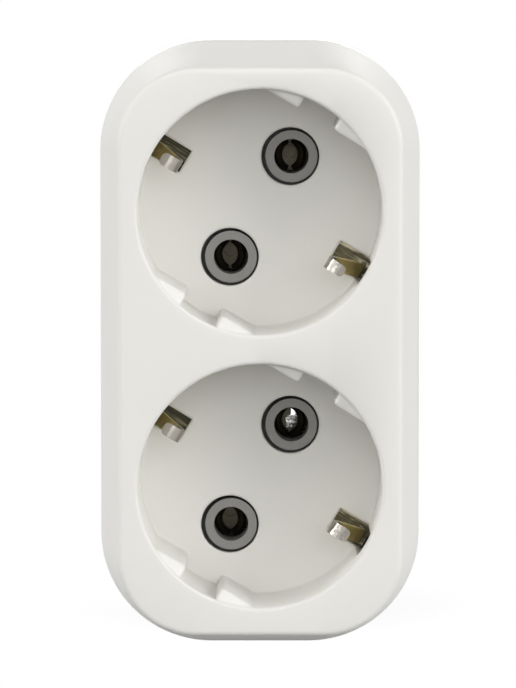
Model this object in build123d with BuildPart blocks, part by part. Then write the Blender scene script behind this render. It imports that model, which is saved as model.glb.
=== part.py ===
from build123d import *
import os
from math import cos, radians, sin

# Two-way earthed socket adapter. X points right, Z up, and the sockets face -Y.
# A depth is a distance behind the front face, towards the plug.

os.makedirs("parts", exist_ok=True)

# Housing
body_width = 52.0
body_height = 98.6
corner_radius = 18.0
side_slope = 3.4
end_slope = 4.15
face_corner_radius = 12.5
front_depth = 23.0
wall = 2.0
face_round = 0.9
back_round = 1.5
tongue_height = 1.5
tongue_wall = 1.0
tongue_gap = 0.4
web_thickness = 2.0

# Socket recesses
socket_pitch = 43.6
socket_rise = 0.6
recess_radius = 19.5
recess_depth = 17.5
floor_thickness = 2.0
rim_round = 0.4
guide_reach = 17.2
guide_gap = 6.6
guide_drop = 0.75
guide_slope = 0.5
guide_tip_round = 0.6
guide_round = 0.4
window_inner = 14.1
window_width = 4.05
window_top = 5.0

# Pins and the holes that take them
pin_pitch = 19.0
pin_radius = 2.4
pin_length = 19.0
pin_tip_round = 1.8
pin_end_room = 0.5
socket_turn = 59.0
bore_radius = 2.8
collar_radius = 4.2
collar_gap = 0.5
collar_drop = 0.2
carrier_shift = 0.2

# Contact carriers
barrel_radius = 5.5
barrel_wall = 1.2
carrier_web_width = 6.0
carrier_web_thickness = 2.5
carrier_pad_radius = 2.0

# Spring clips
clip_thickness = 0.5
clip_span = 6.3
clip_room = 0.2
leaf_turn = 62.0
leaf_offset = 0.85
leaf_throat = 2.35
leaf_mouth = 3.2
leaf_root = 3.4
leaf_bend = 0.8
mouth_room = 1.0
throat_behind_mouth = 1.1

# Bus bars
bar_width = 5.0
bar_thickness = 0.8
bar_corner = 1.0
pad_radius = 2.0

# Rivets
rivet_radius = 1.0
rivet_head_radius = 1.7
rivet_head = 0.6
rivet_fit = 0.05
rivet_room = 0.5

# Earth springs
spring_thickness = 0.5
spring_slide = 0.6
root_reach = 20.8
root_bend = 1.2
root_width = 2.6
root_shift = 0.3
nose_reach = 12.5
nose_depth = 4.3
nose_bend = 1.5
nose_width = 2.1
upper_left_nose_shift = 0.8
upper_right_nose_shift = 1.8
lower_left_nose_shift = 0.25
lower_right_nose_shift = 0.25
tip_reach = 17.2
tip_depth = 6.0
tip_corner = 0.8
bridge_width = 5.0
bridge_reach = 20.4

# Earth strips
link_width = 4.0
link_from_centre = 6.4
stem_drop = 3.0
stem_foot = 2.2
strip_bend = 1.0

# Plug
plug_height = 17.6
plug_radius = 18.5
plug_flat_reach = 17.0
plug_rib_width = 6.0
plug_round = 1.0
plug_end_wall = 4.0
plug_room_width = 27.0
plug_room_height = 22.0
pin_fit = 0.1
pin_neck_radius = 2.0
pin_shoulder = 0.3
pin_tail_radius = 2.0
pin_flange_radius = 3.6
pin_flange = 1.5
pin_rivet_radius = 1.4
pin_swage_radius = 2.0
earth_contact_reach = 15.8
earth_contact_length = 12.0
earth_contact_width = 5.0
groove_room = 0.2
bow_behind_back = 1.6

# Housing screws
screw_across = 16.6
screw_up = 27.5
screw_radius = 1.5
screw_fit = 0.1
screw_head_radius = 2.7
screw_head = 2.2
screw_head_room = 0.3
screw_head_round = 0.6
screw_sink = 4.0
screw_bite = 7.0
screw_end_room = 0.5
pillar_radius = 3.0
pillar_end = 30.0
sleeve_radius = 4.0
cross_length = 3.2
cross_width = 0.8
cross_depth = 1.2

# Depths of the layers, front to back
collar_front = recess_depth + collar_drop
floor_back = recess_depth + floor_thickness
link_front = floor_back + spring_thickness
link_back = link_front + bar_thickness
barrel_front = link_back + bar_thickness + rivet_head
bore_end = barrel_front + barrel_wall
clip_front = recess_depth + pin_length + pin_end_room
bar_front = clip_front + clip_thickness
bar_back = bar_front + bar_thickness
back_inside = bar_back + rivet_head + rivet_room
body_depth = back_inside + wall
screw_seat = body_depth - screw_sink
bow_front = body_depth + bow_behind_back
bow_back = bow_front + bar_thickness
plug_face = body_depth + plug_height
front_y = -(plug_face + pin_length) / 2

# Places across the front
body_middle = body_height / 2
mid_height = body_middle + socket_rise
upper_height = mid_height + socket_pitch / 2
lower_height = mid_height - socket_pitch / 2
socket_heights = (upper_height, lower_height)
pin_reach = pin_pitch / 2
pin_line = Vector(cos(radians(socket_turn)), 0, sin(radians(socket_turn)))
earth_line = Vector(-sin(radians(socket_turn)), 0, cos(radians(socket_turn)))
pin_across = pin_reach * pin_line.X
pin_up = pin_reach * pin_line.Z
live_places = [(pin_across, height + pin_up) for height in socket_heights]
neutral_places = [(-pin_across, height - pin_up) for height in socket_heights]
pad_places = [(pin_reach, up) for across, up in live_places]
pad_places += [(-pin_reach, up) for across, up in neutral_places]
screw_places = [(screw_across, mid_height + screw_up), (-screw_across, mid_height - screw_up)]
link_across = -link_from_centre * earth_line.X
link_up = link_from_centre * earth_line.Z
link_places = [(link_across, upper_height - link_up), (-link_across, lower_height + link_up)]

# Sizes that follow from the others
window_length = recess_radius + wall - window_inner
tongue_inset = wall + tongue_gap
chamber_width = clip_span + 2 * (clip_room + carrier_shift)
chamber_height = clip_span + 2 * clip_room
groove_floor = earth_contact_reach - bar_thickness - groove_room
groove_width = earth_contact_width + 2 * groove_room


def at_depth(depth):
    """Plane parallel to the front face; its x runs right and its y up."""
    return Plane.XZ.offset(-(front_y + depth))


def socket_plane(height, depth):
    """Plane across a socket's axis; its x runs along the pins and its y along the earth springs."""
    return Plane(origin=(0, front_y + depth, height), x_dir=pin_line, z_dir=(0, -1, 0))


def level_plane(across, up):
    """Level plane through a point of the front; its x runs right and its y is the depth."""
    return Plane(origin=(across, front_y, up))


def depth_axis(across, up):
    """Axis straight through the adapter at a point of the front."""
    return Axis((across, front_y, up), (0, 1, 0))


def outline(depth, width, height, radius, inset):
    """Upright rectangle with round corners, drawn that far inside its edge."""
    with BuildSketch(at_depth(depth)) as sketch:
        with Locations((0, body_middle)):
            RectangleRounded(width - 2 * inset, height - 2 * inset, radius - inset)
    return sketch.sketch


def front_outline(depth, inset=0.0):
    """Outline of the front shell, which widens from the front face to the parting plane."""
    share = 1 - depth / front_depth
    return outline(
        depth,
        body_width - 2 * side_slope * share,
        body_height - 2 * end_slope * share,
        corner_radius + (face_corner_radius - corner_radius) * share,
        inset,
    )


def rear_outline(depth, inset=0.0):
    """Outline of the rear shell, which has straight walls."""
    return outline(depth, body_width, body_height, corner_radius, inset)


def save(piece, name):
    """Labels a finished piece and writes it to its own file."""
    piece.label = name
    export_step(piece, f"parts/{name}.step")


def guide_lobes(height):
    """Two pairs of lobes on a cup's wall at the ends of the pin line; their fronts slope into the cup."""
    rooted = recess_radius + wall / 2
    with BuildPart() as lobes:
        with BuildSketch(socket_plane(height, recess_depth)) as pairs:
            Circle(rooted)
            Rectangle(2 * guide_reach, 2 * rooted, mode=Mode.SUBTRACT)
            Rectangle(2 * rooted, guide_gap, mode=Mode.SUBTRACT)
            fillet(pairs.vertices().group_by(SortBy.DISTANCE)[0], guide_tip_round)
        extrude(amount=recess_depth)
        with BuildSketch(level_plane(0, height)):
            with BuildLine():
                Polyline(
                    (0, guide_drop + guide_slope * recess_radius),
                    (rooted, guide_drop - guide_slope * wall / 2),
                    (rooted, 0),
                    (0, 0),
                    close=True,
                )
            make_face()
        revolve(axis=depth_axis(0, height), mode=Mode.SUBTRACT)
        fronts = lobes.faces().filter_by(GeomType.CONE)
        fillet(fronts.edges() - fronts.edges().filter_by(GeomType.CIRCLE), guide_round)
    return lobes.part


# Front cover: sloped shell, two cups with their floors, guides, pin holes and earth windows
with BuildPart() as front_cover:
    loft([front_outline(0), front_outline(front_depth)], ruled=True)
    fillet(front_cover.faces().sort_by(Axis.Y)[0].edges(), face_round)
    loft([front_outline(wall, wall), front_outline(front_depth, wall)], ruled=True, mode=Mode.SUBTRACT)
    with BuildSketch(at_depth(wall)):
        with Locations((0, mid_height)):
            with GridLocations(0, socket_pitch, 1, 2):
                Circle(recess_radius + wall)
            Rectangle(body_width - 2 * side_slope - wall, web_thickness)
    extrude(amount=-(floor_back - wall))
    with BuildSketch(at_depth(floor_back)):
        with Locations(*screw_places):
            Circle(pillar_radius)
    extrude(amount=-(pillar_end - floor_back))
    with BuildSketch(at_depth(pillar_end)):
        with Locations(*screw_places):
            Circle(screw_radius + screw_fit)
    extrude(amount=screw_bite, mode=Mode.SUBTRACT)
    for socket_height in socket_heights:
        with BuildSketch(level_plane(0, socket_height)):
            with BuildLine():
                Polyline(
                    (recess_radius, rim_round),
                    (recess_radius, recess_depth),
                    (0, recess_depth),
                    (0, 0),
                    (recess_radius + rim_round, 0),
                )
                CenterArc((recess_radius + rim_round, rim_round), rim_round, 180, 90)
            make_face()
        revolve(axis=depth_axis(0, socket_height), mode=Mode.SUBTRACT)
        add(guide_lobes(socket_height))
        with BuildSketch(socket_plane(socket_height, recess_depth)):
            with GridLocations(pin_pitch, 0, 2, 1):
                Circle(collar_radius + collar_gap)
        extrude(amount=-floor_thickness, mode=Mode.SUBTRACT)
        with BuildSketch(socket_plane(socket_height, window_top)):
            with GridLocations(0, 2 * window_inner + window_length, 1, 2):
                Rectangle(window_width, window_length)
        extrude(amount=-(floor_back - window_top), mode=Mode.SUBTRACT)
save(front_cover.part, "front_cover")

# Rear cover: straight shell with a tongue inside the front cover, and the plug boss
with BuildPart() as rear_cover:
    extrude(rear_outline(front_depth), amount=-(body_depth - front_depth))
    fillet(rear_cover.faces().sort_by(Axis.Y)[-1].edges(), back_round)
    extrude(rear_outline(front_depth, wall), amount=-(back_inside - front_depth), mode=Mode.SUBTRACT)
    extrude(rear_outline(front_depth, wall / 2), amount=-tongue_height)
    extrude(rear_outline(front_depth, tongue_inset), amount=tongue_height)
    extrude(
        rear_outline(front_depth - tongue_height, tongue_inset + tongue_wall),
        amount=-2 * tongue_height,
        mode=Mode.SUBTRACT,
    )
    with BuildSketch(at_depth(back_inside)):
        with Locations((0, mid_height)):
            Circle(plug_radius)
            Rectangle(2 * plug_flat_reach, 2 * plug_radius, mode=Mode.INTERSECT)
            Rectangle(2 * plug_radius, plug_rib_width)
    extrude(amount=-(plug_face - back_inside))
    fillet(rear_cover.faces().sort_by(Axis.Y)[-1].edges(), plug_round)
    with BuildSketch(at_depth(back_inside)):
        with Locations((0, mid_height)):
            Rectangle(plug_room_width, plug_room_height)
    extrude(amount=-(plug_face - plug_end_wall - back_inside), mode=Mode.SUBTRACT)
    with BuildSketch(at_depth(plug_face)):
        with Locations((0, mid_height)):
            with GridLocations(pin_pitch, 0, 2, 1):
                Circle(pin_neck_radius + pin_fit)
    extrude(amount=plug_end_wall, mode=Mode.SUBTRACT)
    with BuildSketch(at_depth(bow_front - groove_room)):
        with Locations((0, mid_height)):
            Rectangle(groove_width, 2 * plug_radius)
            Rectangle(groove_width, 2 * groove_floor, mode=Mode.SUBTRACT)
    extrude(amount=-(earth_contact_length + 2 * groove_room), mode=Mode.SUBTRACT)
    with BuildSketch(at_depth(bow_front - groove_room)):
        with Locations((0, mid_height)):
            Rectangle(groove_width, 2 * plug_radius)
    extrude(amount=-(bar_thickness + 2 * groove_room), mode=Mode.SUBTRACT)
    with BuildSketch(at_depth(pillar_end)):
        with Locations(*screw_places):
            Circle(sleeve_radius)
    extrude(amount=-(back_inside - pillar_end))
    with BuildSketch(at_depth(pillar_end)):
        with Locations(*screw_places):
            Circle(screw_radius + screw_fit)
    extrude(amount=-(body_depth - pillar_end), mode=Mode.SUBTRACT)
    with BuildSketch(at_depth(body_depth)):
        with Locations(*screw_places):
            Circle(screw_head_radius + screw_head_room)
    extrude(amount=screw_sink, mode=Mode.SUBTRACT)
    with BuildSketch(at_depth(bar_back)):
        with Locations(*pad_places):
            Circle(pad_radius)
    extrude(amount=-(back_inside - bar_back))
save(rear_cover.part, "rear_cover")


def contact_carrier(height):
    """Dark insulating insert: two barrels whose collars line a socket's pin holes."""
    places = [(carrier_shift + pin_across, height + pin_up), (carrier_shift - pin_across, height - pin_up)]
    with BuildPart() as carrier:
        with BuildSketch(at_depth(collar_front)):
            with Locations(*places):
                Circle(collar_radius)
        extrude(amount=-(barrel_front - collar_front))
        with BuildSketch(at_depth(barrel_front)):
            with Locations(*places):
                Circle(barrel_radius)
        extrude(amount=-(bar_front - barrel_front))
        with BuildSketch(socket_plane(height, barrel_front)):
            Rectangle(pin_pitch, carrier_web_width)
        extrude(amount=-carrier_web_thickness)
        with BuildSketch(socket_plane(height, link_front)):
            Circle(carrier_pad_radius)
        extrude(amount=-(barrel_front - link_front))
        with BuildSketch(at_depth(collar_front)):
            with Locations(*places):
                Circle(bore_radius)
        extrude(amount=-(bore_end - collar_front), mode=Mode.SUBTRACT)
        with BuildSketch(at_depth(bore_end)):
            with Locations(*places):
                Rectangle(chamber_width, chamber_height)
        extrude(amount=-(bar_front - bore_end), mode=Mode.SUBTRACT)
    return carrier.part


save(contact_carrier(upper_height), "upper_contact_carrier")
save(contact_carrier(lower_height), "lower_contact_carrier")


def spring_clip(across, up):
    """Plate with two hollow leaves that close on a pin from the left and the right."""
    mouth_depth = bore_end + mouth_room
    leaf_centre = across - leaf_offset
    with BuildPart() as clip:
        with BuildSketch(level_plane(leaf_centre, up)):
            with BuildLine():
                FilletPolyline(
                    (leaf_mouth, mouth_depth),
                    (leaf_throat, mouth_depth + throat_behind_mouth),
                    (leaf_root, clip_front + clip_thickness / 2),
                    radius=leaf_bend,
                )
            trace(line_width=clip_thickness)
        revolve(axis=depth_axis(leaf_centre, up), revolution_arc=leaf_turn)
        mirror(about=level_plane(across, up))
        mirror(about=Plane.YZ.offset(across))
        with BuildSketch(at_depth(clip_front)):
            with Locations((across, up)):
                Rectangle(clip_span, clip_span)
                Circle(rivet_radius + rivet_fit, mode=Mode.SUBTRACT)
        extrude(amount=-clip_thickness)
    return clip.part


for polarity, places in (("live", live_places), ("neutral", neutral_places)):
    for level, place in zip(("upper", "lower"), places):
        save(spring_clip(*place), f"{level}_{polarity}_contact")


def bus_bar(side, places):
    """Flat strip beside the sockets, with a lug to each of its contacts and a hole for its plug pin."""
    top = max(up for across, up in places)
    bottom = min(up for across, up in places)
    with BuildPart() as bar:
        with BuildSketch(at_depth(bar_front)) as blank:
            with Locations((side * pin_reach, (top + bottom) / 2)):
                Rectangle(bar_width, top - bottom + bar_width)
            with Locations(*[((across + side * pin_reach) / 2, up) for across, up in places]):
                Rectangle(pin_reach - pin_across + bar_width, bar_width)
            fillet(blank.vertices(), bar_corner)
            with Locations(*places):
                Circle(rivet_radius + rivet_fit, mode=Mode.SUBTRACT)
            with Locations((side * pin_reach, mid_height)):
                Circle(pin_rivet_radius + rivet_fit, mode=Mode.SUBTRACT)
        extrude(amount=-bar_thickness)
    return bar.part


save(bus_bar(1, live_places), "live_bus_bar")
save(bus_bar(-1, neutral_places), "neutral_bus_bar")


def earth_clip(height, link_side, nose_shifts):
    """Spring strip across the back of a cup floor; its two tapered ends lean in through the windows."""
    bridge_depth = floor_back + spring_thickness / 2
    middle = Vector(0, front_y, height) + spring_slide * earth_line
    side_view = Plane(origin=middle, x_dir=earth_line, z_dir=-pin_line)
    end_view = Plane(origin=middle, x_dir=pin_line, z_dir=earth_line)
    with BuildPart() as tapers:
        for side, nose_shift in zip((1, -1), nose_shifts):
            with BuildSketch(end_view):
                with BuildLine():
                    Polyline(
                        (-root_shift - root_width / 2, link_back),
                        (-nose_shift - nose_width / 2, nose_depth),
                        (-nose_shift + nose_width / 2, nose_depth),
                        (-root_shift + root_width / 2, link_back),
                        close=True,
                    )
                make_face()
            extrude(amount=side * (root_reach + spring_thickness))
    with BuildPart() as clip:
        with BuildSketch(side_view):
            with BuildLine():
                FilletPolyline(
                    (-tip_reach, tip_depth),
                    (-nose_reach, nose_depth),
                    (-root_reach, bridge_depth),
                    (root_reach, bridge_depth),
                    (nose_reach, nose_depth),
                    (tip_reach, tip_depth),
                    radius=[nose_bend, root_bend, root_bend, nose_bend],
                )
            trace(line_width=spring_thickness)
        extrude(amount=bridge_width / 2, both=True)
        add(tapers.part, mode=Mode.INTERSECT)
        in_cup = clip.edges().filter_by_position(Axis.Y, front_y, front_y + recess_depth)
        fillet(in_cup.filter_by(lambda edge: edge.length < 2 * spring_thickness), tip_corner)
        with BuildSketch(socket_plane(height, floor_back)):
            Rectangle(bridge_width, 2 * bridge_reach)
        extrude(amount=-spring_thickness)
        with BuildSketch(socket_plane(height, floor_back)):
            with Locations((0, link_side * link_from_centre)):
                Circle(rivet_radius + rivet_fit)
        extrude(amount=-spring_thickness, mode=Mode.SUBTRACT)
    return clip.part


save(earth_clip(upper_height, -1, (upper_left_nose_shift, upper_right_nose_shift)), "upper_earth_clip")
save(earth_clip(lower_height, 1, (lower_left_nose_shift, lower_right_nose_shift)), "lower_earth_clip")

# Earth link: slanting strip between the two earth clips
with BuildPart() as earth_link:
    link_run = Vector(2 * link_across, 0, socket_pitch - 2 * link_up)
    link_plane = Plane(origin=(0, front_y + link_front, mid_height), x_dir=link_run, z_dir=(0, -1, 0))
    with BuildSketch(link_plane):
        SlotCenterToCenter(link_run.length, link_width)
        Circle(rivet_radius + rivet_fit, mode=Mode.SUBTRACT)
        with GridLocations(link_run.length, 0, 2, 1):
            Circle(rivet_radius + rivet_fit, mode=Mode.SUBTRACT)
    extrude(amount=-bar_thickness)
save(earth_link.part, "earth_link")

# Earth stem: folded strip from the link back into the plug boss
plug_side_view = Plane(origin=(0, front_y, mid_height), x_dir=(0, 0, 1), z_dir=(-1, 0, 0))
with BuildPart() as earth_stem:
    front_foot = link_back + bar_thickness / 2
    back_foot = bow_front - bar_thickness / 2
    with BuildSketch(plug_side_view):
        with BuildLine():
            FilletPolyline(
                (stem_foot, front_foot),
                (-stem_drop, front_foot),
                (-stem_drop, back_foot),
                (stem_foot, back_foot),
                radius=strip_bend,
            )
        trace(line_width=bar_thickness)
    extrude(amount=link_width / 2, both=True)
    with BuildSketch(at_depth(link_back)):
        with Locations((0, mid_height)):
            Circle(rivet_radius + rivet_fit)
    extrude(amount=-(bow_front - link_back), mode=Mode.SUBTRACT)
save(earth_stem.part, "earth_stem")

# Plug earth bow: strip across the boss with the two side contacts of the plug
with BuildPart() as plug_earth_bow:
    contact_middle = earth_contact_reach - bar_thickness / 2
    with BuildSketch(plug_side_view):
        with BuildLine():
            FilletPolyline(
                (-contact_middle, bow_front + earth_contact_length),
                (-contact_middle, bow_front + bar_thickness / 2),
                (contact_middle, bow_front + bar_thickness / 2),
                (contact_middle, bow_front + earth_contact_length),
                radius=strip_bend,
            )
        trace(line_width=bar_thickness)
    extrude(amount=earth_contact_width / 2, both=True)
    with BuildSketch(at_depth(bow_front)):
        with Locations((0, mid_height)):
            Circle(rivet_radius + rivet_fit)
    extrude(amount=-bar_thickness, mode=Mode.SUBTRACT)
save(plug_earth_bow.part, "plug_earth_bow")


def plug_pin(side):
    """Turned plug pin with a flange behind the plug face and a tail riveted into its bus bar."""
    flange_back = plug_face - plug_end_wall
    tip = plug_face + pin_length
    with BuildPart() as pin:
        with BuildSketch(level_plane(side * pin_reach, mid_height)):
            with BuildLine():
                Polyline(
                    (pin_radius, tip - pin_tip_round),
                    (pin_radius, plug_face + pin_shoulder),
                    (pin_neck_radius, plug_face + pin_shoulder),
                    (pin_neck_radius, flange_back),
                    (pin_flange_radius, flange_back),
                    (pin_flange_radius, flange_back - pin_flange),
                    (pin_tail_radius, flange_back - pin_flange),
                    (pin_tail_radius, bar_back),
                    (pin_rivet_radius, bar_back),
                    (pin_rivet_radius, bar_front),
                    (pin_swage_radius, bar_front),
                    (pin_swage_radius, bar_front - rivet_head),
                    (0, bar_front - rivet_head),
                    (0, tip),
                    (pin_radius - pin_tip_round, tip),
                )
                CenterArc((pin_radius - pin_tip_round, tip - pin_tip_round), pin_tip_round, 0, 90)
            make_face()
        revolve(axis=depth_axis(side * pin_reach, mid_height))
    return pin.part


save(plug_pin(1), "live_plug_pin")
save(plug_pin(-1), "neutral_plug_pin")

# Contact rivets: join each clip to its bus bar
with BuildPart() as contact_rivets:
    with BuildSketch(at_depth(clip_front)):
        with Locations(*live_places, *neutral_places):
            Circle(rivet_radius)
    extrude(amount=-(bar_back - clip_front))
    with BuildSketch(at_depth(bar_back)):
        with Locations(*live_places, *neutral_places):
            Circle(rivet_head_radius)
    extrude(amount=-rivet_head)
save(contact_rivets.part, "contact_rivets")

# Earth rivets: join the clips to the link, the link to the stem and the stem to the bow
with BuildPart() as earth_rivets:
    joints = [(place, floor_back, link_back) for place in link_places]
    joints += [((0, mid_height), link_front, link_back + bar_thickness)]
    joints += [((0, mid_height), bow_front - bar_thickness, bow_back)]
    for place, joint_front, joint_back in joints:
        with BuildSketch(at_depth(joint_front)):
            with Locations(place):
                Circle(rivet_radius)
        extrude(amount=-(joint_back - joint_front))
        with BuildSketch(at_depth(joint_back)):
            with Locations(place):
                Circle(rivet_head_radius)
        extrude(amount=-rivet_head)
save(earth_rivets.part, "earth_rivets")

# Housing screws: from the back of the rear cover into the pillars of the front cover
with BuildPart() as housing_screws:
    with BuildSketch(at_depth(screw_seat)):
        with Locations(*screw_places):
            Circle(screw_head_radius)
    extrude(amount=-screw_head)
    head_backs = housing_screws.faces().group_by(Axis.Y)[-1]
    fillet(head_backs.edges(), screw_head_round)
    with BuildSketch(at_depth(screw_seat)):
        with Locations(*screw_places):
            Circle(screw_radius)
    extrude(amount=screw_seat - pillar_end + screw_bite - screw_end_room)
    with BuildSketch(at_depth(screw_seat + screw_head)):
        with Locations(*screw_places):
            Rectangle(cross_length, cross_width)
            Rectangle(cross_width, cross_length)
    extrude(amount=cross_depth, mode=Mode.SUBTRACT)
save(housing_screws.part, "housing_screws")
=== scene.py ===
import math
import bpy
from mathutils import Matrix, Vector


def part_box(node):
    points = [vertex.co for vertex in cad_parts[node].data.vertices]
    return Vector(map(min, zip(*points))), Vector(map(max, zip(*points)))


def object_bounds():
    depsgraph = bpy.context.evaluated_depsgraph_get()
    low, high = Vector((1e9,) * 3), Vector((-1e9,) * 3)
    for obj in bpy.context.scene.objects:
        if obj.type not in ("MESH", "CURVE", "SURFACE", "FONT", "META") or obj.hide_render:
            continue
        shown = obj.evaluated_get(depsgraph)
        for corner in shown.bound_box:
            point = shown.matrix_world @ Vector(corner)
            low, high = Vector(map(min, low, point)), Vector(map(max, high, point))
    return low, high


# Two-way earthed socket adapter on a pale floor. Metres; X right, Z up, the sockets face -Y.
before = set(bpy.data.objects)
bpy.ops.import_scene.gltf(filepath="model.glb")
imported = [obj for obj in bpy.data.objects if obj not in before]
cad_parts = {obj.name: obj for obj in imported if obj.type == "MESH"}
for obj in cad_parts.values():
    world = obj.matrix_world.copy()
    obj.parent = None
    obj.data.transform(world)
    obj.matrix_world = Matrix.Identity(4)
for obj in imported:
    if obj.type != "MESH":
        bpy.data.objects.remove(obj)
cad_low, cad_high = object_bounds()

# Photograph's frame and the pixel that the camera aims at
IMAGE_WIDTH = 516
IMAGE_HEIGHT = 688
AIM_PIXEL = (257.5, 350.0)

# Camera: lens and sensor in millimetres, place in metres from the point of the front face that it aims at
LENS = 239.6
SENSOR = 36.0
CAMERA_RISE = 0.0622
CAMERA_DISTANCE = 0.723
AIM_ACROSS = -0.0004
AIM_HEIGHT = 0.0499

# Smooth shading of the solids
MERGE_DISTANCE = 1e-6
SMOOTH_ANGLE = math.radians(32)

# Colours, each as its darker and its lighter shade
WHITE_PLASTIC = ((0.785, 0.772, 0.735), (0.805, 0.795, 0.76))
GREY_PLASTIC = ((0.225, 0.22, 0.208), (0.262, 0.257, 0.243))
# Pin contacts' strip: very dark, painted shade for the inside of the pin holes
CONTACT_STRIP_SHADED = ((0.12, 0.108, 0.08), (0.175, 0.16, 0.122))
# Polished patch: near-white mirror part over grey stripes, a painted glint that also mirrors the light
# outside
PATCH_GLINT_STRIPES = ((0.1, 0.1, 0.1), (0.3, 0.3, 0.29))
PATCH_GLINT_MIRROR = ((0.7, 0.7, 0.69), (0.9, 0.9, 0.89))
# Plated ends: the right half is lighter, partly polish and partly painted light
SPRING_SATIN_SHADED = ((0.31, 0.29, 0.255), (0.4, 0.374, 0.335))
SPRING_POLISHED_LIT = ((0.3, 0.283, 0.25), (0.5, 0.475, 0.43))
SPRING_BRASS = ((0.55, 0.44, 0.155), (0.76, 0.62, 0.25))
# Roots in the windows: painted shade, darker on the left than on the right
SPRING_ROOT_DEEP_SHADE = ((0.035, 0.032, 0.015), (0.24, 0.22, 0.14))
SPRING_ROOT_LIGHT_SHADE = ((0.09, 0.08, 0.045), (0.66, 0.61, 0.45))
# Painted highlight along the bare leaves' edges
SPRING_EDGE_HIGHLIGHT = ((0.6, 0.56, 0.44), (0.74, 0.7, 0.58))
PLATED_STRIP = ((0.5, 0.46, 0.36), (0.72, 0.69, 0.62))
BRASS_STRIP = ((0.5, 0.36, 0.13), (0.68, 0.52, 0.22))
BRASS_RIVET = ((0.52, 0.38, 0.14), (0.68, 0.52, 0.22))
PLATED_PIN = ((0.62, 0.6, 0.55), (0.74, 0.72, 0.68))
ZINC_SCREW = ((0.46, 0.46, 0.47), (0.6, 0.6, 0.6))

# Covers: how far their edges are softened, and their gloss
FRONT_SOFTNESS = 0.0008
FRONT_GLOSS = 0.4
REAR_SOFTNESS = 0.0004
REAR_GLOSS = 0.1

# Rolled strips: their pattern is drawn out along this axis
ALONG_DEPTH = (1.0, 0.05, 1.0)
ALONG_HEIGHT = (1.0, 1.0, 0.05)

# Earth springs: depths where plated end, bare leaf and the root with painted shade meet, the strip's turn,
# the right half with painted light, and the painted highlight along the edges
PLATED_END = -0.0315
BARE_START = -0.029
BARE_END = -0.0215
ROOT_START = -0.0198
STRIP_TURN = math.radians(-31)
RIGHT_HALF = (-0.002, 0.002)
ROOT_STREAKS = (0.5, 0.66)
# Width and turn of the painted highlight along the edges
EDGE_HIGHLIGHT_WIDTH = 0.00014
EDGE_HIGHLIGHT_TURN = (0.03, 0.16)

# Polished patch on one contact, a painted glint where it mirrors the light outside: where its sides begin
# and end, from the contact's middle, and its tilt
PATCH_LEFT = (0.00045, 0.00055)
PATCH_RIGHT = (0.0021, 0.0022)
PATCH_STEP = (-0.00035, -0.00025)
PATCH_STEP_SLOPE = 0.2
PATCH_STEP_WIDTH = 0.0008
PATCH_BOTTOM = (-0.0022, -0.0021)
PATCH_TOP = (0.003, 0.0031)
PATCH_DEPTH = (0.004, 0.0045)
PATCH_RAGGEDNESS = 0.0005
PATCH_STRIPES = (0.4, 0.6)
PATCH_TILT = 0.042

# Floor: its half width, its greys and glow, and where the adapter's shadow fades out of the white
FLOOR_REACH = 3.0
FLOOR_GREY = 0.24
SHADOW_GREY = 0.6
SHADOW_GLOW = 0.565
SHADOW_CENTRE = (0.0, 0.03, 0.0)
SHADOW_START = 0.012
SHADOW_END = 0.042

# Light all round
WORLD_STRENGTH = 0.256
WORLD_COLOUR = (0.99, 0.995, 1.0)

# Lamps: name, degrees right of the camera and up, then size and power as if a metre away
LAMP_DISTANCE = 2.0
LAMPS = (
    ("front_lamp", 0, 5, 0.6, 1.95),
    ("front_right_lamp", 30, 12, 0.6, 1.35),
    ("right_lamp", 60, 12, 0.5, 5.35),
    ("far_right_lamp", 78, 10, 0.5, 1.15),
    ("front_left_lamp", -30, 12, 0.6, 0.7),
    ("left_lamp", -80, 10, 0.5, 3.8),
    ("upper_left_lamp", -60, 30, 0.5, 1.8),
    ("high_left_lamp", -35, 45, 0.5, 1.3),
    ("high_lamp", 0, 55, 0.5, 0.3),
    ("back_lamp", 180, 6, 0.3, 4.8),
)

# Sockets of a Mix node that mixes colours
MIX_SHARE = 0
MIX_FIRST = 6
MIX_SECOND = 7
MIX_RESULT = 2


class Wire:
    """An output socket that takes part in Python arithmetic: each operator adds a Math node."""

    def __init__(self, nodes, socket):
        self.nodes = nodes
        self.socket = socket

    def math(self, operation, first, second):
        return self.nodes.add("ShaderNodeMath", {"operation": operation}, {0: first, 1: second})

    def __add__(self, other):
        return self.math("ADD", self, other)

    def __radd__(self, other):
        return self.math("ADD", other, self)

    def __sub__(self, other):
        return self.math("SUBTRACT", self, other)

    def __rsub__(self, other):
        return self.math("SUBTRACT", other, self)

    def __mul__(self, other):
        return self.math("MULTIPLY", self, other)

    def __rmul__(self, other):
        return self.math("MULTIPLY", other, self)


class Nodes:
    """One node tree. add() makes any node: its type, its settings, then values or links of its sockets."""

    def __init__(self, tree):
        self.tree = tree
        tree.nodes.clear()

    def add(self, kind, settings=None, sockets=None, output=0):
        node = self.tree.nodes.new(kind)
        for name, value in (settings or {}).items():
            setattr(node, name, value)
        for name, value in (sockets or {}).items():
            if isinstance(value, Wire):
                self.tree.links.new(value.socket, node.inputs[name])
            else:
                node.inputs[name].default_value = value
        if not node.outputs:
            return node
        return Wire(self, node.outputs[output])


def new_material(name):
    """An empty node material and its nodes."""
    material = bpy.data.materials.new(name)
    material.use_nodes = True
    return material, Nodes(material.node_tree)


def object_place(nodes):
    """Each point's place on the object, in metres."""
    return nodes.add("ShaderNodeTexCoord", output="Object")


def along_axes(nodes, place, axes):
    """A place's distances along the named axes."""
    return [nodes.add("ShaderNodeSeparateXYZ", None, {"Vector": place}, output=axis) for axis in axes]


def noise(nodes, place, scale, detail=2.0, roughness=0.5):
    """Soft noise from 0 to 1 at that many features a metre."""
    return nodes.add(
        "ShaderNodeTexNoise",
        None,
        {"Vector": place, "Scale": scale, "Detail": detail, "Roughness": roughness},
    )


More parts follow.
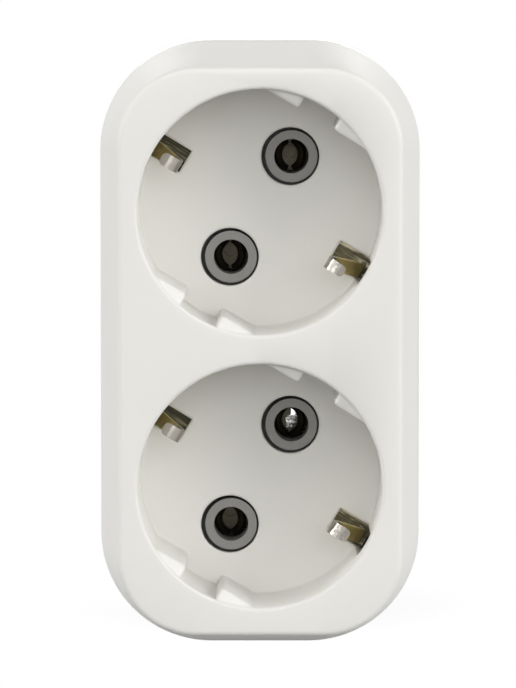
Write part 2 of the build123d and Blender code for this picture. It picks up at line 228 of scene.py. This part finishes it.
def stretched(nodes, place, factors):
    """The same place, drawn out along its axes, for lines left by rolling or turning."""
    return nodes.add("ShaderNodeMapping", None, {"Vector": place, "Scale": factors})


def blended(nodes, share, first, second):
    """One colour pattern laid over another by a share from 0 to 1."""
    return nodes.add(
        "ShaderNodeMix",
        {"data_type": "RGBA"},
        {MIX_SHARE: share, MIX_FIRST: first, MIX_SECOND: second},
        output=MIX_RESULT,
    )


def tint(nodes, share, shades):
    """Colour that goes from the first shade to the second as the share goes from 0 to 1."""
    darker, lighter = shades
    return blended(nodes, share, (*darker, 1.0), (*lighter, 1.0))


def share_between(nodes, value, start, end):
    """0 before the start, 1 after the end and a smooth rise between them."""
    return nodes.add(
        "ShaderNodeMapRange",
        {"interpolation_type": "SMOOTHSTEP"},
        {"Value": value, "From Min": start, "From Max": end},
    )


def soft_normal(nodes, radius, samples):
    """Normal that turns round the edges of a piece as if they had that radius."""
    return nodes.add("ShaderNodeBevel", {"samples": samples}, {"Radius": radius})


def edge_highlight_mask(nodes, width):
    """1 along the edges of a piece, fading to 0 within that width."""
    straight = nodes.add("ShaderNodeNewGeometry", output="Normal")
    match = nodes.add(
        "ShaderNodeVectorMath",
        {"operation": "DOT_PRODUCT"},
        {0: soft_normal(nodes, width, samples=6), 1: straight},
        output="Value",
    )
    return share_between(nodes, 1 - match, *EDGE_HIGHLIGHT_TURN)


def bump(nodes, height, strength, distance, normal=None):
    """Normal of a surface with that height pattern, on its own normal or on the one given."""
    sockets = {"Height": height, "Strength": strength, "Distance": distance}
    if normal:
        sockets["Normal"] = normal
    return nodes.add("ShaderNodeBump", None, sockets)


def surface(nodes, sockets):
    """Principled surface on the material's output."""
    shader = nodes.add("ShaderNodeBsdfPrincipled", None, sockets)
    nodes.add("ShaderNodeOutputMaterial", None, {"Surface": shader})


def white_plastic(name, softness, gloss):
    """White moulding: faint cloudy colour, a fine grain from the tool and softened edges."""
    material, nodes = new_material(name)
    place = object_place(nodes)
    cloud = noise(nodes, place, scale=45.0, detail=3.0)
    grain = noise(nodes, place, scale=2600.0)
    flow = noise(nodes, stretched(nodes, place, (1.0, 1.0, 0.35)), scale=160.0)
    edges = soft_normal(nodes, softness, samples=12)
    surface(
        nodes,
        {
            "Base Color": tint(nodes, cloud, WHITE_PLASTIC),
            "Roughness": 0.42 + 0.08 * flow + 0.04 * grain,
            "Specular IOR Level": gloss,
            "Normal": bump(nodes, grain + 0.8 * flow, 0.12, 0.00005, edges),
        },
    )
    return material


def grey_insulator_plastic():
    """Matt grey moulding of the contact carriers."""
    material, nodes = new_material("grey_insulator_plastic")
    place = object_place(nodes)
    cloud = noise(nodes, place, scale=220.0, detail=3.0)
    grain = noise(nodes, place, scale=3800.0)
    surface(
        nodes,
        {
            "Base Color": tint(nodes, cloud, GREY_PLASTIC),
            "Roughness": 0.46 + 0.12 * grain,
            "Normal": bump(nodes, grain, 0.2, 0.00004),
        },
    )
    return material


def contact_metal(polished_contact):
    """Dull strip of the pin contacts, tinted very dark as painted shade for the pin holes; a polished patch
    at the root of one mirrors the light outside and is shaped and coloured as a painted glint.
    """
    low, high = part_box(polished_contact)
    centre = (Vector(low) + Vector(high)) / 2
    material, nodes = new_material("contact_strip")
    place = object_place(nodes)
    rolled = noise(nodes, stretched(nodes, place, ALONG_DEPTH), scale=900.0, detail=3.0, roughness=0.6)
    stain = noise(nodes, place, scale=260.0, detail=4.0)
    ragged = noise(nodes, place, scale=1500.0)
    stripes = noise(nodes, stretched(nodes, place, (0.12, 1.0, 1.0)), scale=2600.0)

    from_centre = nodes.add("ShaderNodeMapping", None, {"Vector": place, "Location": -centre})
    across, depth, up = along_axes(nodes, from_centre, "XYZ")
    across = across + PATCH_RAGGEDNESS * ragged
    up = up + PATCH_RAGGEDNESS * ragged
    upper = share_between(nodes, up - PATCH_STEP_SLOPE * across, *PATCH_STEP)
    left = share_between(nodes, across + PATCH_STEP_WIDTH * (1 - upper), *PATCH_LEFT)
    right = 1 - share_between(nodes, across, *PATCH_RIGHT)
    bottom = share_between(nodes, up, *PATCH_BOTTOM)
    top = 1 - share_between(nodes, up, *PATCH_TOP)
    polished = left * right * bottom * top * share_between(nodes, depth, *PATCH_DEPTH)

    # Painted shade: the contacts' strip is tinted very dark for the inside of the pin holes
    shaded_strip = tint(nodes, 0.65 * stain + 0.35 * rolled, CONTACT_STRIP_SHADED)
    # Painted glint: the patch's grey stripes below and near-white mirror part above
    glint_stripes = tint(nodes, share_between(nodes, stripes, *PATCH_STRIPES), PATCH_GLINT_STRIPES)
    painted_glint = blended(nodes, upper, glint_stripes, tint(nodes, ragged, PATCH_GLINT_MIRROR))
    tilted = bump(nodes, 0 - up, 1.0, PATCH_TILT)
    surface(
        nodes,
        {
            "Base Color": blended(nodes, polished, shaded_strip, painted_glint),
            "Metallic": 1.0,
            "Roughness": 0.38 + 0.12 * rolled - 0.06 * stain - 0.4 * polished,
            "Normal": bump(nodes, rolled, 0.15, 0.00002, tilted),
        },
    )
    return material


def strip_metal(name, shades, roughness, lines):
    """Rolled strip: fine lines along one axis and small stains."""
    material, nodes = new_material(name)
    place = object_place(nodes)
    rolled = noise(nodes, stretched(nodes, place, lines), scale=900.0, detail=3.0, roughness=0.6)
    stain = noise(nodes, place, scale=260.0, detail=4.0)
    surface(
        nodes,
        {
            "Base Color": tint(nodes, 0.65 * stain + 0.35 * rolled, shades),
            "Metallic": 1.0,
            "Roughness": roughness + 0.14 * rolled - 0.06 * stain,
            "Normal": bump(nodes, rolled, 0.15, 0.00003),
        },
    )
    return material


def earth_spring_metal():
    """Brass spring strip: plated rounded ends, lighter on the right by polish and painted light; bare
    leaves; streaked roots darkened by painted shade, most on the left; painted highlights along the bare
    leaves' edges.
    """
    material, nodes = new_material("earth_spring_strip")
    place = object_place(nodes)
    across, depth = along_axes(nodes, place, "XY")
    right = share_between(nodes, across, *RIGHT_HALF)
    bare = share_between(nodes, depth, PLATED_END, BARE_START)
    root = share_between(nodes, depth, BARE_END, ROOT_START)

    along = nodes.add("ShaderNodeMapping", None, {"Vector": place, "Rotation": (0.0, STRIP_TURN, 0.0)})
    lines = stretched(nodes, along, (0.06, 0.2, 1.0))
    rolled = noise(nodes, lines, scale=1900.0, detail=3.0, roughness=0.6)
    streak = share_between(nodes, rolled, *ROOT_STREAKS)
    dimple = noise(nodes, place, scale=750.0, detail=1.0)
    stain = noise(nodes, place, scale=420.0, detail=4.0)

    # Plated ends lighter on the right: partly polish, partly painted light where the lamps fall
    plated = blended(nodes, right, tint(nodes, stain, SPRING_SATIN_SHADED), tint(nodes, stain, SPRING_POLISHED_LIT))
    leaf = blended(nodes, bare, plated, tint(nodes, stain, SPRING_BRASS))
    # Painted shade on the roots deep in the windows, darker on the left
    painted_root_shade = blended(
        nodes, right, tint(nodes, streak, SPRING_ROOT_DEEP_SHADE), tint(nodes, streak, SPRING_ROOT_LIGHT_SHADE)
    )
    strip = blended(nodes, root, leaf, painted_root_shade)
    # Painted highlight along the bare leaves' edges
    painted_edge_highlight = edge_highlight_mask(nodes, EDGE_HIGHLIGHT_WIDTH) * bare
    surface(
        nodes,
        {
            "Base Color": blended(nodes, painted_edge_highlight, strip, tint(nodes, stain, SPRING_EDGE_HIGHLIGHT)),
            "Metallic": 0.95 - 0.45 * bare,
            "Roughness": 0.28 - 0.15 * right * (1 - bare) + 0.12 * bare + 0.08 * rolled,
            "Normal": bump(nodes, 0.1 * rolled + (0.3 + 0.7 * right) * dimple, 0.4, 0.0005),
        },
    )
    return material


def turned_metal(name, shades, roughness):
    """Turned and plated round parts: fine rings across the depth axis."""
    material, nodes = new_material(name)
    place = object_place(nodes)
    rings = noise(nodes, stretched(nodes, place, (0.04, 1.0, 0.04)), scale=2600.0)
    stain = noise(nodes, place, scale=180.0, detail=4.0)
    surface(
        nodes,
        {
            "Base Color": tint(nodes, stain, shades),
            "Metallic": 1.0,
            "Roughness": roughness + 0.12 * rings + 0.06 * stain,
            "Normal": bump(nodes, rings, 0.18, 0.00003),
        },
    )
    return material


def smooth_tree():
    """Geometry tree that joins a solid's loose triangles and shades it smooth up to an edge angle."""
    tree = bpy.data.node_groups.new("smooth_solid", "GeometryNodeTree")
    tree.interface.new_socket("Geometry", in_out="INPUT", socket_type="NodeSocketGeometry")
    tree.interface.new_socket("Edge Angle", in_out="INPUT", socket_type="NodeSocketFloat")
    tree.interface.new_socket("Geometry", in_out="OUTPUT", socket_type="NodeSocketGeometry")
    nodes = Nodes(tree)
    solid = nodes.add("NodeGroupInput", output="Geometry")
    largest = nodes.add("NodeGroupInput", output="Edge Angle")
    joined = nodes.add(
        "GeometryNodeMergeByDistance", None, {"Geometry": solid, "Distance": MERGE_DISTANCE}
    )
    plain = nodes.add("GeometryNodeRemoveAttribute", None, {"Geometry": joined, "Name": "custom_normal"})
    soft = nodes.add("GeometryNodeSetShadeSmooth", {"domain": "FACE"}, {"Geometry": plain})
    angle = nodes.add("GeometryNodeInputMeshEdgeAngle")
    sharp = nodes.add(
        "FunctionNodeCompare",
        {"data_type": "FLOAT", "operation": "GREATER_THAN"},
        {"A": angle, "B": largest},
    )
    creased = nodes.add(
        "GeometryNodeSetShadeSmooth",
        {"domain": "EDGE"},
        {"Geometry": soft, "Selection": sharp, "Shade Smooth": False},
    )
    nodes.add("NodeGroupOutput", None, {"Geometry": creased})
    return tree


def dress(names, material, tree):
    """Gives solids their material and smooth shading."""
    angle_input = tree.interface.items_tree["Edge Angle"].identifier
    for name in names:
        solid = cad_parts[name]
        solid.data.materials.clear()
        solid.data.materials.append(material)
        shading = solid.modifiers.new("smooth_solid", "NODES")
        shading.node_group = tree
        shading[angle_input] = SMOOTH_ANGLE


def plain_view(nodes):
    """1 for what the camera sees, straight, mirrored or through glass; 0 for light that falls on things."""
    straight = nodes.add("ShaderNodeLightPath", output="Is Camera Ray")
    mirrored = nodes.add("ShaderNodeLightPath", output="Is Glossy Ray")
    through = nodes.add("ShaderNodeLightPath", output="Is Transmission Ray")
    return straight + mirrored + through


def matt_grey(nodes, grey):
    """Matt surface of an even grey."""
    return nodes.add("ShaderNodeBsdfDiffuse", None, {"Color": (grey, grey, grey, 1.0)})


def pale_floor():
    """Plain floor that the camera sees as white, with the adapter's soft shadow close around it."""
    mesh = bpy.data.meshes.new("pale_floor")
    corners = [(x * FLOOR_REACH, y * FLOOR_REACH, 0) for x, y in ((-1, -1), (1, -1), (1, 1), (-1, 1))]
    mesh.from_pydata(corners, [], [(0, 1, 2, 3)])
    floor = bpy.data.objects.new("pale_floor", mesh)
    bpy.context.scene.collection.objects.link(floor)
    material, nodes = new_material("pale_floor")
    away = nodes.add(
        "ShaderNodeVectorMath",
        {"operation": "DISTANCE"},
        {0: object_place(nodes), 1: SHADOW_CENTRE},
        output="Value",
    )
    glow = nodes.add("ShaderNodeEmission", None, {"Strength": SHADOW_GLOW})
    near = nodes.add("ShaderNodeAddShader", None, {0: matt_grey(nodes, SHADOW_GREY), 1: glow})
    far = nodes.add("ShaderNodeEmission", None, {"Strength": 1.0})
    share = share_between(nodes, away, SHADOW_START, SHADOW_END)
    white = nodes.add("ShaderNodeMixShader", None, {0: share, 1: near, 2: far})
    matt = matt_grey(nodes, FLOOR_GREY)
    mixed = nodes.add("ShaderNodeMixShader", None, {0: plain_view(nodes), 1: matt, 2: white})
    nodes.add("ShaderNodeOutputMaterial", None, {"Surface": mixed})
    mesh.materials.append(material)


def white_world():
    """Even light all round; the camera and clear reflections see plain white."""
    world = bpy.data.worlds.new("white_room")
    bpy.context.scene.world = world
    world.use_nodes = True
    nodes = Nodes(world.node_tree)
    even = nodes.add(
        "ShaderNodeBackground", None, {"Color": (*WORLD_COLOUR, 1.0), "Strength": WORLD_STRENGTH}
    )
    white = nodes.add("ShaderNodeBackground", None, {"Color": (1, 1, 1, 1), "Strength": 1.0})
    mixed = nodes.add("ShaderNodeMixShader", None, {0: plain_view(nodes), 1: even, 2: white})
    nodes.add("ShaderNodeOutputWorld", None, {"Surface": mixed})


def lamp(name, azimuth, elevation, size, power):
    """Soft square lamp that faces the middle of the adapter."""
    data = bpy.data.lights.new(name, "AREA")
    data.size = size * LAMP_DISTANCE
    data.energy = power * LAMP_DISTANCE**2
    light = bpy.data.objects.new(name, data)
    around, above = math.radians(azimuth), math.radians(elevation)
    way = Vector((math.sin(around) * math.cos(above), -math.cos(around) * math.cos(above), math.sin(above)))
    light.location = (cad_low + cad_high) / 2 + LAMP_DISTANCE * way
    light.rotation_euler = (-way).to_track_quat("-Z", "Y").to_euler()
    bpy.context.scene.collection.objects.link(light)


def photo_camera():
    """Camera at the photograph's angle, tilted down to the middle of the sockets."""
    data = bpy.data.cameras.new("photo_camera")
    data.lens = LENS
    data.sensor_width = SENSOR
    long_side = max(IMAGE_WIDTH, IMAGE_HEIGHT)
    data.shift_x = (IMAGE_WIDTH / 2 - AIM_PIXEL[0]) / long_side
    data.shift_y = (AIM_PIXEL[1] - IMAGE_HEIGHT / 2) / long_side
    camera = bpy.data.objects.new("photo_camera", data)
    aim = Vector((AIM_ACROSS, cad_low.y, AIM_HEIGHT))
    camera.location = aim + Vector((0, -CAMERA_DISTANCE, CAMERA_RISE))
    camera.rotation_euler = (aim - camera.location).to_track_quat("-Z", "Y").to_euler()
    bpy.context.scene.collection.objects.link(camera)
    bpy.context.scene.camera = camera


smoothing = smooth_tree()

# Covers and contact carriers
dress(["front_cover"], white_plastic("satin_white_plastic", FRONT_SOFTNESS, FRONT_GLOSS), smoothing)
dress(["rear_cover"], white_plastic("matt_white_plastic", REAR_SOFTNESS, REAR_GLOSS), smoothing)
dress(["upper_contact_carrier", "lower_contact_carrier"], grey_insulator_plastic(), smoothing)

# Pin contacts and what joins them to the plug
dress(
    [
        "upper_live_contact",
        "upper_neutral_contact",
        "lower_live_contact",
        "lower_neutral_contact",
        "contact_rivets",
    ],
    contact_metal("lower_live_contact"),
    smoothing,
)
dress(
    ["live_bus_bar", "neutral_bus_bar", "earth_link", "earth_stem"],
    strip_metal("brass_strip", BRASS_STRIP, 0.3, ALONG_HEIGHT),
    smoothing,
)
dress(["live_plug_pin", "neutral_plug_pin"], turned_metal("plated_pin", PLATED_PIN, 0.18), smoothing)

# Earth springs and the plug's earth contacts
dress(["upper_earth_clip", "lower_earth_clip"], earth_spring_metal(), smoothing)
dress(["plug_earth_bow"], strip_metal("plated_earth_strip", PLATED_STRIP, 0.24, ALONG_DEPTH), smoothing)
dress(["earth_rivets"], turned_metal("brass_rivet", BRASS_RIVET, 0.3), smoothing)

# Screws from the back
dress(["housing_screws"], turned_metal("zinc_screw", ZINC_SCREW, 0.28), smoothing)

# Floor, light and camera
pale_floor()
white_world()
for values in LAMPS:
    lamp(*values)
photo_camera()
bpy.context.scene.view_settings.view_transform = "Standard"
